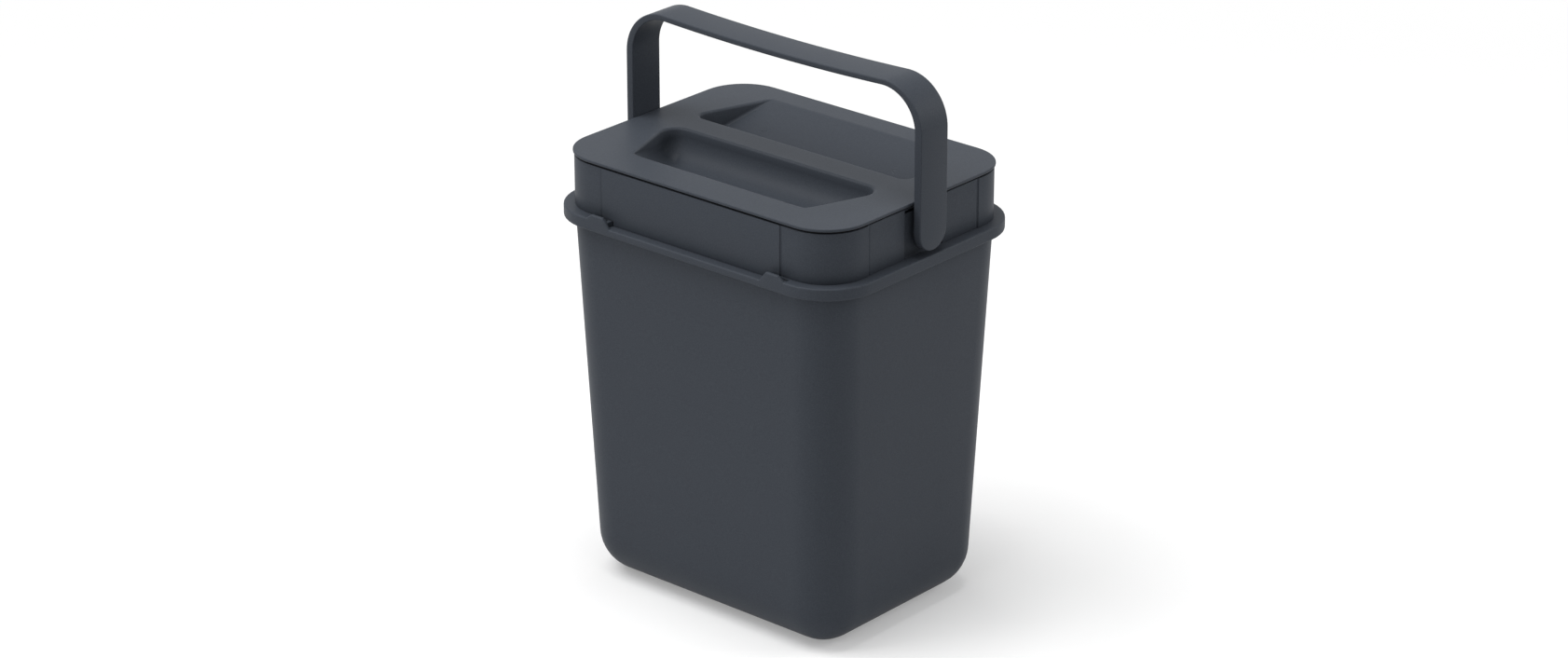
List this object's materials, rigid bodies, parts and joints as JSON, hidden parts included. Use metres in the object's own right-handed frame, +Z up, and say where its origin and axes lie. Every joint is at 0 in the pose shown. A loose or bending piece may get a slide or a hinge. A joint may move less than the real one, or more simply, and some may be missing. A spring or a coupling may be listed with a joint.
{
  "type": "compost caddy with hinged lid",
  "caption": "Tapered rectangular kitchen compost caddy with a flange, a neck frame, a hinged lid with finger wells and a swinging strap handle.",
  "frame": {"origin": "on the floor under the middle of the bin", "axes": "+Z up, X along the long side, -Y towards the front with the lowered flange, +Y towards the lid's hinge"},
  "size_m": [0.2282, 0.1778, 0.3434],
  "materials": {
    "body_plastic": "fine matt moulded",
    "frame_plastic": "fine matt moulded",
    "lid_plastic": "fine matt moulded",
    "seal_rubber": "soft elastomer",
    "handle_plastic": "fine matt moulded",
    "pin_steel": "drawn wire"
  },
  "bodies": {
    "bin": {"bin_body": "body_plastic", "neck_frame": "frame_plastic", "hinge_pin_left": "pin_steel", "hinge_pin_right": "pin_steel"},
    "lid": {"lid": "lid_plastic", "lid_seal": "seal_rubber"},
    "bail": {"bail_handle": "handle_plastic"}
  },
  "joints": [
    {"name": "lid_hinge", "type": "hinge", "parent": "bin", "child": "lid", "pos_m": [0, 0.08565, 0.265], "axis": [-1, 0, 0], "range_deg": [0, 24]},
    {"name": "bail_pivot", "type": "hinge", "parent": "bin", "child": "bail", "pos_m": [0, 0, 0.255], "axis": [-1, 0, 0], "range_deg": [0, 50]}
  ]
}
